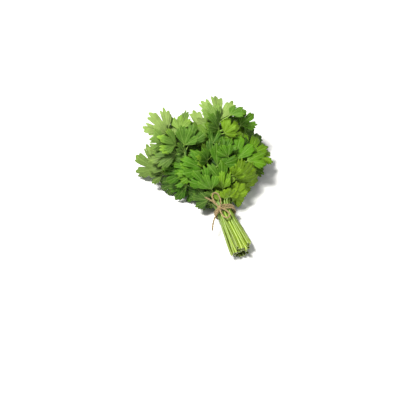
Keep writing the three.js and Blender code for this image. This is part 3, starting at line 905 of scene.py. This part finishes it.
def add_tube(shape, points, radii, sides, tints, slot=0, ribs=0, offset=0):
    """A closed tube along a line, ribbed or round, with one tint or one for each ring.

    A point's mark is how far along it is, and its turn.
    """
    _, across, beside = carried_frames(points, (0, 0, 1))
    turns = 2 * math.pi * np.arange(sides) / sides
    ribbed = 1 + ribs * np.where(np.arange(sides) % 2, -1, 1)
    out = across[:, None] * np.cos(turns)[:, None] + beside[:, None] * np.sin(turns)[:, None]
    rings = points[:, None] + out * (radii[:, None] * ribbed)[..., None]
    marks = np.empty(rings.shape)
    marks[..., 0] = ways_along(points)[:, None] + offset
    marks[..., 1], marks[..., 2] = np.cos(turns), np.sin(turns)
    last = (len(points) - 1) * sides
    caps = [np.arange(sides)[None, ::-1], np.arange(sides)[None] + last]
    tints = np.broadcast_to(tints[:, None], rings.shape).reshape(-1, 3)
    faces = [grid_faces(len(points), sides, True), *caps]
    shape.add(rings.reshape(-1, 3), faces, tints, marks.reshape(-1, 3), slot)


def bent(start, start_way, end, end_way, pull, count):
    """A curve between two points that leaves and arrives along the given ways."""
    t = np.linspace(0, 1, count)[:, None]
    reach = pull * length(end - start)
    a, b = start + start_way * reach, end - end_way * reach
    return start * (1 - t) ** 3 + 3 * a * t * (1 - t) ** 2 + 3 * b * t**2 * (1 - t) + end * t**3


def add_leaf_stem(shape, stalk, leaf, rng):
    """A leaflet's own stem, which goes on below the blade as its rib."""
    root = stalk_curve(stalk, float(leaf["way"][0]))
    ahead = stalk_curve(stalk, float(leaf["way"][0]) + 2)
    foot, rib = leaf["foot"][0], leaf["rib"][0]
    stem = bent(root, unit(ahead - root), foot, rib, 0.4, STEM_RINGS)
    shares = np.linspace(RIB_START, RIB_SHARE, RIB_RINGS)
    surface = surface_of(leaf)
    below = leaflet_points(surface, shares * surface["size"], 0 * shares, -RIB_BELOW)
    points = np.concatenate([stem, below])
    rib_radii = RIB_RADIUS - RIB_TAPER * shares / RIB_SHARE
    radii = np.concatenate([np.linspace(*STEM_RADII, STEM_RINGS), rib_radii])
    tint = mixed(STALK_HIGH, STEM_GREEN, rng.uniform(0.3, 1)) * rng.uniform(0.9, 1.1)
    add_tube(shape, points, radii, STEM_SIDES, tint[None], STALK, offset=rng.uniform(0, 500))


def add_stalk(shape, stalk, rng):
    """One stalk, finely ribbed, with pale pith at its cut end. Stalks low in the bunch are darker, which is
    painted shade.
    """
    cut, reach = stalk["cut"], stalk["reach"]
    body = np.linspace(-cut + 1, reach, round((cut + reach) / STALK_RINGS_APART))
    ways = np.concatenate([[-cut + 0.25, -cut - 0.02, -cut, -cut + 0.35], body])
    points = np.array([stalk_curve(stalk, s) for s in ways])
    swayed = np.concatenate([np.full(4, body[0]), body])
    free = 1 - np.exp(-((swayed / 14) ** 2))
    sway = rng.uniform(0, 6, 2)
    points[:, 0] += SWAY * free * np.sin(swayed / 15 + sway[0])
    points[:, 2] += SWAY * free * np.sin(swayed / 19 + sway[1])
    radii = stalk_radius(stalk, ways) * rng.uniform(0.72, 1.02)
    radii[:3] *= [0.05, 0.62, 0.93]
    pull = np.clip((ways + cut) / (cut + 70), 0, 1)
    # Painted shade: the lower a stalk lies in the bunch, the darker its tint
    lit = 0.4 + 0.6 * np.clip((stalk["b"] + 0.4) / 1.1, 0, 1)
    tints = mixed(STALK_LOW, STALK_HIGH, pull) * lit * rng.uniform(0.5, 1.1)
    tints[:2] = CUT_PITH
    tints[2] = mixed(CUT_PITH, STALK_LOW, 0.6) * 0.8
    add_tube(shape, points, radii, STALK_SIDES, tints, STALK, ribs=STALK_RIBS, offset=rng.uniform(0, 500))


# The twine, spun from two strands
STRAND_RADIUS = 0.72
STRAND_OFF = 0.6
TWIST_LENGTH = 8.5
TWINE_STEP = 0.75
STRAND_SIDES = 9
FIBRES = 420
FIBRE_RADII = 0.055 * np.array([1, 1, 0.9, 0.7, 0.25])
END_FIBRES = 26
END_FIBRE_RADII = 0.09 * np.array([1, 1, 0.9, 0.7, 0.3])
FIBRE_PULL = 0.35
FIBRE_SIDES = 3
WRAP_POINTS = 61
# The knot's wraps: how they lean along the bunch, their half width and height, and how far along they are
KNOT_WRAPS = [(0.1, 3.0, 1.7, -0.9), (0.5, 3.3, 2.0, 0.8), (-0.7, 2.9, 1.6, 0.2)]


def twine_paths():
    """The twine's lines: its turns with the bow's four pieces, and the wraps of the knot."""
    turns = turn_points(FINE_TURN_STEPS)
    cosine, sine = math.cos(KNOT_ANGLE), math.sin(KNOT_ANGLE)
    out = unit(np.array([TURN_HALF_HEIGHT * cosine, 0, TURN_HALF_WIDTH * sine]))
    along_bunch = np.array([0.0, 1.0, 0.0])
    across = np.cross(along_bunch, out)
    wraps = []
    for lean, half_wide, half_high, off in KNOT_WRAPS:
        wide = unit(across + along_bunch * lean)
        turn = np.linspace(0, 2 * math.pi, WRAP_POINTS)[:, None]
        middle = KNOT_MIDDLE + along_bunch * off
        wraps.append(middle + wide * half_wide * np.cos(turn) + out * half_high * np.sin(turn))
    return [turns, *bow_curves(), *wraps]


def add_two_ply(shape, path, rng):
    """Two strands twisted round each other along a line. Gives the line, evenly spaced, with its frames."""
    whole = length(np.diff(path, axis=0)).sum()
    points = spaced(path, round(whole / TWINE_STEP))
    ways, across, beside = carried_frames(points, (0.2, 0.3, 1))
    s = np.linspace(0, whole, len(points))
    for strand in range(2):
        twist = 2 * math.pi * s / TWIST_LENGTH + strand * math.pi + rng.uniform(0, 1)
        off = across * np.cos(twist)[:, None] + beside * np.sin(twist)[:, None]
        lines = points + off * STRAND_OFF
        uneven = 1 + 0.07 * np.sin(s / 5.3 + rng.uniform(0, 6)) + 0.04 * rng.uniform(-1, 1, len(s))
        radii = STRAND_RADIUS * uneven
        radii[[0, -1]] *= 0.4
        shade = 0.5 + 0.35 * np.sin(s / 23 + rng.uniform(0, 6)) + 0.2 * rng.uniform(-1, 1, len(s))
        tints = mixed(TWINE_LIGHT, TWINE_DARK, 0.55 * np.clip(shade, 0, 1))
        add_tube(shape, lines, radii, STRAND_SIDES, tints, offset=rng.uniform(0, 900))
    return points, ways, across, beside


def add_fibre(shape, start, start_way, end, end_way, radii, tint):
    line = bent(start, start_way, end, end_way, FIBRE_PULL, len(radii))
    add_tube(shape, line, radii, FIBRE_SIDES, tint[None])


def add_fibres(shape, lines, rng):
    """Loose fibres that stand out of the twine."""
    weights = np.array([len(points) for points, *_ in lines], float)
    for _ in range(FIBRES):
        points, ways, across, beside = lines[rng.choice(len(lines), p=weights / weights.sum())]
        i = rng.integers(1, len(points) - 1)
        turn = rng.uniform(0, 2 * math.pi)
        out = across[i] * math.cos(turn) + beside[i] * math.sin(turn)
        way = ways[i] * rng.choice([-1, 1])
        long = rng.uniform(1.2, 4.2)
        start = points[i] + out * STRAND_RADIUS * 1.5
        end = start + way * long * 0.8 + out * long * rng.uniform(0.15, 0.6)
        end_way = unit(way + out * rng.uniform(-0.6, 1))
        tint = mixed(TWINE_LIGHT, TWINE_DARK, rng.uniform(0, 0.5)) * 1.15
        add_fibre(shape, start, unit(way + out * 0.2), end, end_way, FIBRE_RADII, tint)


def add_frayed_end(shape, line, ways, rng):
    """A tuft of fibres past the cut end of the twine."""
    end, way = line[-1], ways[-1]
    for _ in range(END_FIBRES):
        aside = unit(rng.normal(size=3))
        start = end - way * 0.8 + aside * 0.55
        tip = end + way * rng.uniform(0.8, 2.6) + aside * rng.uniform(0.4, 1.5)
        tint = mixed(TWINE_LIGHT, TWINE_DARK, rng.uniform(0, 0.5))
        add_fibre(shape, start, way, tip, unit(way + aside * 0.6), END_FIBRE_RADII, tint)


# Materials
PRINCIPLED = "ShaderNodeBsdfPrincipled"
NOISE = "ShaderNodeTexNoise"
BUMP = "ShaderNodeBump"
LIGHT_THROUGH = 0.26


def feed(tree, socket, value):
    """Gives a socket a plain value, or links another node's output to it."""
    if isinstance(value, bpy.types.NodeSocket):
        tree.links.new(value, socket)
    else:
        socket.default_value = value


def node(tree, kind, *first_sockets, **values):
    """A new shader node, with values for its first sockets and for others and properties by name.

    A socket's name is given with underscores for its spaces.
    """
    made = tree.nodes.new(kind)
    for socket, value in zip(made.inputs, first_sockets):
        feed(tree, socket, value)
    for name, value in values.items():
        if hasattr(made, name):
            setattr(made, name, value)
        else:
            feed(tree, made.inputs[name.replace("_", " ")], value)
    return made


def new_material(name):
    material = bpy.data.materials.new(name)
    material.use_nodes = True
    material.node_tree.nodes.clear()
    return material, material.node_tree


def maths(tree, operation, a, b=0.0):
    return node(tree, "ShaderNodeMath", a, b, operation=operation).outputs[0]


def ranged(tree, value, low, high, to_low=0.0, to_high=1.0, smooth=False):
    """A value moved from one range to another and kept within it."""
    made = node(tree, "ShaderNodeMapRange", value, low, high, to_low, to_high)
    made.interpolation_type = "SMOOTHSTEP" if smooth else "LINEAR"
    return made.outputs["Result"]


def blended(tree, share, a, b, way="MIX"):
    """Two colours mixed by a share."""
    made = node(tree, "ShaderNodeMix", data_type="RGBA", blend_type=way)
    for place, value in ((0, share), (6, a), (7, b)):
        feed(tree, made.inputs[place], value)
    return made.outputs[2]


def shaded(tree, colour, shade):
    """A colour times a number."""
    grey = node(tree, "ShaderNodeCombineColor", shade, shade, shade).outputs[0]
    return blended(tree, 1.0, colour, grey, "MULTIPLY")


def carried(tree, name, kind):
    """What a mesh carries at its points, as a colour or a vector."""
    return node(tree, "ShaderNodeAttribute", attribute_name=name).outputs[kind]


def finished(material, shader):
    node(material.node_tree, "ShaderNodeOutputMaterial", shader.outputs[0])
    return material


def leaf_material():
    """Leaf tissue: pale tapered veins, a net of finer ones, mottling, a satin skin, and light through it."""
    material, tree = new_material("coriander_leaf")
    tint = carried(tree, "tint", "Color")
    mark = node(tree, "ShaderNodeSeparateXYZ", Vector=carried(tree, "mark", "Vector"))
    to_main, to_teeth, share = mark.outputs
    main_width = ranged(tree, share, 0.0, 1.0, 0.62, 0.2)
    main_vein = ranged(tree, maths(tree, "DIVIDE", to_main, main_width), 1.5, 0.5, smooth=True)
    tooth_width = ranged(tree, share, 0.1, 1.0, 0.34, 0.13)
    tooth_vein = ranged(tree, maths(tree, "DIVIDE", to_teeth, tooth_width), 1.6, 0.5, smooth=True)
    vein = maths(tree, "MAXIMUM", main_vein, maths(tree, "MULTIPLY", tooth_vein, 0.75))
    coords = tree.nodes.new("ShaderNodeTexCoord").outputs["Object"]
    net = node(tree, "ShaderNodeTexVoronoi", feature="DISTANCE_TO_EDGE", Vector=coords, Scale=330.0)
    net_line = ranged(tree, net.outputs["Distance"], 0.09, 0.0)
    mottle = node(tree, NOISE, Vector=coords, Scale=70.0, Detail=4.0, Roughness=0.6).outputs["Fac"]
    skin = shaded(tree, tint, ranged(tree, mottle, 0.3, 0.7, 0.76, 1.18))
    paler = blended(tree, 0.6, skin, (0.46, 0.66, 0.16, 1))
    skin = blended(tree, maths(tree, "MULTIPLY", net_line, 0.16), skin, paler)
    skin = blended(tree, maths(tree, "MULTIPLY", vein, 0.55), skin, paler)
    grain = node(tree, NOISE, Vector=coords, Scale=900.0, Detail=3.0).outputs["Fac"]
    height = maths(tree, "ADD", maths(tree, "MULTIPLY", net_line, -0.5), grain)
    height = maths(tree, "ADD", height, maths(tree, "MULTIPLY", vein, -0.8))
    bump = node(tree, BUMP, Height=height, Strength=0.35, Distance=0.0004).outputs[0]
    rough = ranged(tree, mottle, 0.3, 0.7, 0.4, 0.56)
    surface = node(
        tree, PRINCIPLED, Base_Color=skin, Roughness=rough, Normal=bump, Specular_IOR_Level=0.12,
    )
    let_through = blended(tree, 0.5, skin, (0.15, 0.46, 0.01, 1))
    through = node(tree, "ShaderNodeBsdfTranslucent", Color=let_through, Normal=bump)
    both = node(tree, "ShaderNodeMixShader", LIGHT_THROUGH, surface.outputs[0], through.outputs[0])
    return finished(material, both)


def streaks_along(tree, stretch, scale, **noise):
    """Noise drawn out along a stalk or a strand, from its points' marks."""
    mapping = node(tree, "ShaderNodeMapping", Vector=carried(tree, "mark", "Vector"), Scale=stretch)
    return node(tree, NOISE, Vector=mapping.outputs[0], Scale=scale, **noise).outputs["Fac"]


def stalk_material():
    """Stalk skin: fine streaks along it, a soft gloss, and a little light let in."""
    material, tree = new_material("coriander_stalk")
    streaks = streaks_along(tree, (0.05, 3.2, 3.2), 1.6, Detail=4.0)
    tint = carried(tree, "tint", "Color")
    surface = node(
        tree, PRINCIPLED,
        Base_Color=shaded(tree, tint, ranged(tree, streaks, 0.32, 0.68, 0.8, 1.16)),
        Roughness=ranged(tree, streaks, 0.3, 0.7, 0.3, 0.44),
        Normal=node(tree, BUMP, Height=streaks, Strength=0.3, Distance=0.0005).outputs[0],
        Specular_IOR_Level=0.35,
        Subsurface_Weight=0.15,
        Subsurface_Radius=(0.6, 1.0, 0.3),
        Subsurface_Scale=0.0015,
    )
    return finished(material, surface)


def twine_material():
    """Jute: fibres along each strand, dry and matte."""
    material, tree = new_material("jute_twine")
    fibres = streaks_along(tree, (0.35, 3.5, 3.5), 1.5, Detail=5.0, Roughness=0.7)
    tint = carried(tree, "tint", "Color")
    surface = node(
        tree, PRINCIPLED,
        Base_Color=shaded(tree, tint, ranged(tree, fibres, 0.3, 0.7, 0.62, 1.3)),
        Normal=node(tree, BUMP, Height=fibres, Strength=0.7, Distance=0.0006).outputs[0],
        Roughness=0.85,
        Specular_IOR_Level=0.25,
        Sheen_Weight=0.25,
    )
    return finished(material, surface)


def floor_material():
    """A plain pale tabletop with the faintest unevenness."""
    material, tree = new_material("pale_table")
    coords = tree.nodes.new("ShaderNodeTexCoord").outputs["Object"]
    noise = node(tree, NOISE, Vector=coords, Scale=6.0, Detail=3.0).outputs["Fac"]
    tone = blended(tree, noise, (0.84, 0.84, 0.83, 1), (0.88, 0.88, 0.87, 1))
    surface = node(tree, PRINCIPLED, Base_Color=tone, Roughness=0.7, Specular_IOR_Level=0.2)
    return finished(material, surface)


def make_leafy_stalks():
    materials = [leaf_material(), stalk_material()]
    by_owner = {stalk["index"]: [] for stalk in layout.stalks}
    for leaf in layout.placed:
        by_owner[int(leaf["owner"][0])].append(leaf)
    centres = np.array([leaf["centre"][0] for leaf in layout.placed])
    for stalk in layout.stalks:
        index = stalk["index"]
        rng = np.random.default_rng([SEED, index])
        shape = Shape()
        add_stalk(shape, stalk, rng)
        for leaf in by_owner[index]:
            add_leaf_stem(shape, stalk, leaf, rng)
            add_blade(shape, leaf, leaflet_tint(leaf, centres, rng), rng)
        cad_node = f"leafy_stalk_{index + 1:02d}"
        piece = shape.built("fine_" + cad_node, materials)
        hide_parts(cad_node)
        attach(piece, "root")


def make_twine():
    rng = np.random.default_rng([SEED, 1000])
    shape = Shape()
    lines = [add_two_ply(shape, path, rng) for path in twine_paths()]
    add_fibres(shape, lines, rng)
    for line in lines[3:5]:
        add_frayed_end(shape, line[0], line[1], rng)
    piece = shape.built("fine_twine_tie", [twine_material()])
    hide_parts("twine_tie")
    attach(piece, "root")


# The table, the lights and the camera
CAMERA_ELEVATION = math.radians(58)
CAMERA_AZIMUTH = math.radians(-13)
CAMERA_DISTANCE = 875
CAMERA_LENS = 50
SENSOR_WIDTH = 36
PICTURE_SIDE = 420
TIE_PIXEL = (225, 208)
TIE_TOP = np.array([0, 0, 34])


def make_floor():
    mesh = bpy.data.meshes.new("table")
    half = 3.0
    corners = [(-half, -half, 0), (half, -half, 0), (half, half, 0), (-half, half, 0)]
    mesh.from_pydata(corners, [], [(0, 1, 2, 3)])
    mesh.materials.append(floor_material())
    floor = in_scene("table", mesh)
    floor.location.z = -0.0003


def make_light(name, place, size, power, colour):
    light = bpy.data.lights.new(name, "AREA")
    light.shape = "DISK"
    light.size = size
    light.energy = power
    light.color = colour
    lamp = in_scene(name, light)
    lamp.location = place
    lamp.rotation_euler = (Vector((0, 0, 0.04)) - Vector(place)).to_track_quat("-Z", "Y").to_euler()


def make_lights():
    make_light("key", (-0.55, 0.15, 1.45), 0.4, 40, (1.0, 0.985, 0.95))
    make_light("fill", (0.5, -1.2, 0.6), 0.8, 4, (0.96, 0.98, 1.0))
    make_light("top", (0.1, 0.1, 1.7), 1.4, 3.5, (1.0, 1.0, 1.0))
    world = bpy.data.worlds.new("studio")
    world.use_nodes = True
    background = world.node_tree.nodes["Background"]
    background.inputs["Color"].default_value = (1.0, 1.0, 1.0, 1)
    background.inputs["Strength"].default_value = 0.2
    bpy.context.scene.world = world
    bpy.context.scene.view_settings.view_transform = "Standard"


def make_camera():
    e, a = CAMERA_ELEVATION, CAMERA_AZIMUTH
    back = np.array([math.sin(a) * math.cos(e), -math.cos(a) * math.cos(e), math.sin(e)])
    right = np.array([math.cos(a), math.sin(a), 0])
    up = np.cross(back, right)
    pixel = SENSOR_WIDTH / CAMERA_LENS / PICTURE_SIDE * CAMERA_DISTANCE
    across = (TIE_PIXEL[0] - PICTURE_SIDE / 2) * pixel
    upward = (PICTURE_SIDE / 2 - TIE_PIXEL[1]) * pixel
    place = in_row_frame(TIE_TOP - right * across - up * upward + back * CAMERA_DISTANCE)
    data = bpy.data.cameras.new("camera")
    data.lens = CAMERA_LENS
    data.sensor_width = SENSOR_WIDTH
    data.clip_end = 20
    camera = in_scene("camera", data)
    camera.location = Vector(place)
    camera.rotation_euler = Vector(back).to_track_quat("Z", "Y").to_euler()
    bpy.context.scene.camera = camera


make_camera()
make_leafy_stalks()
make_twine()
make_floor()
make_lights()
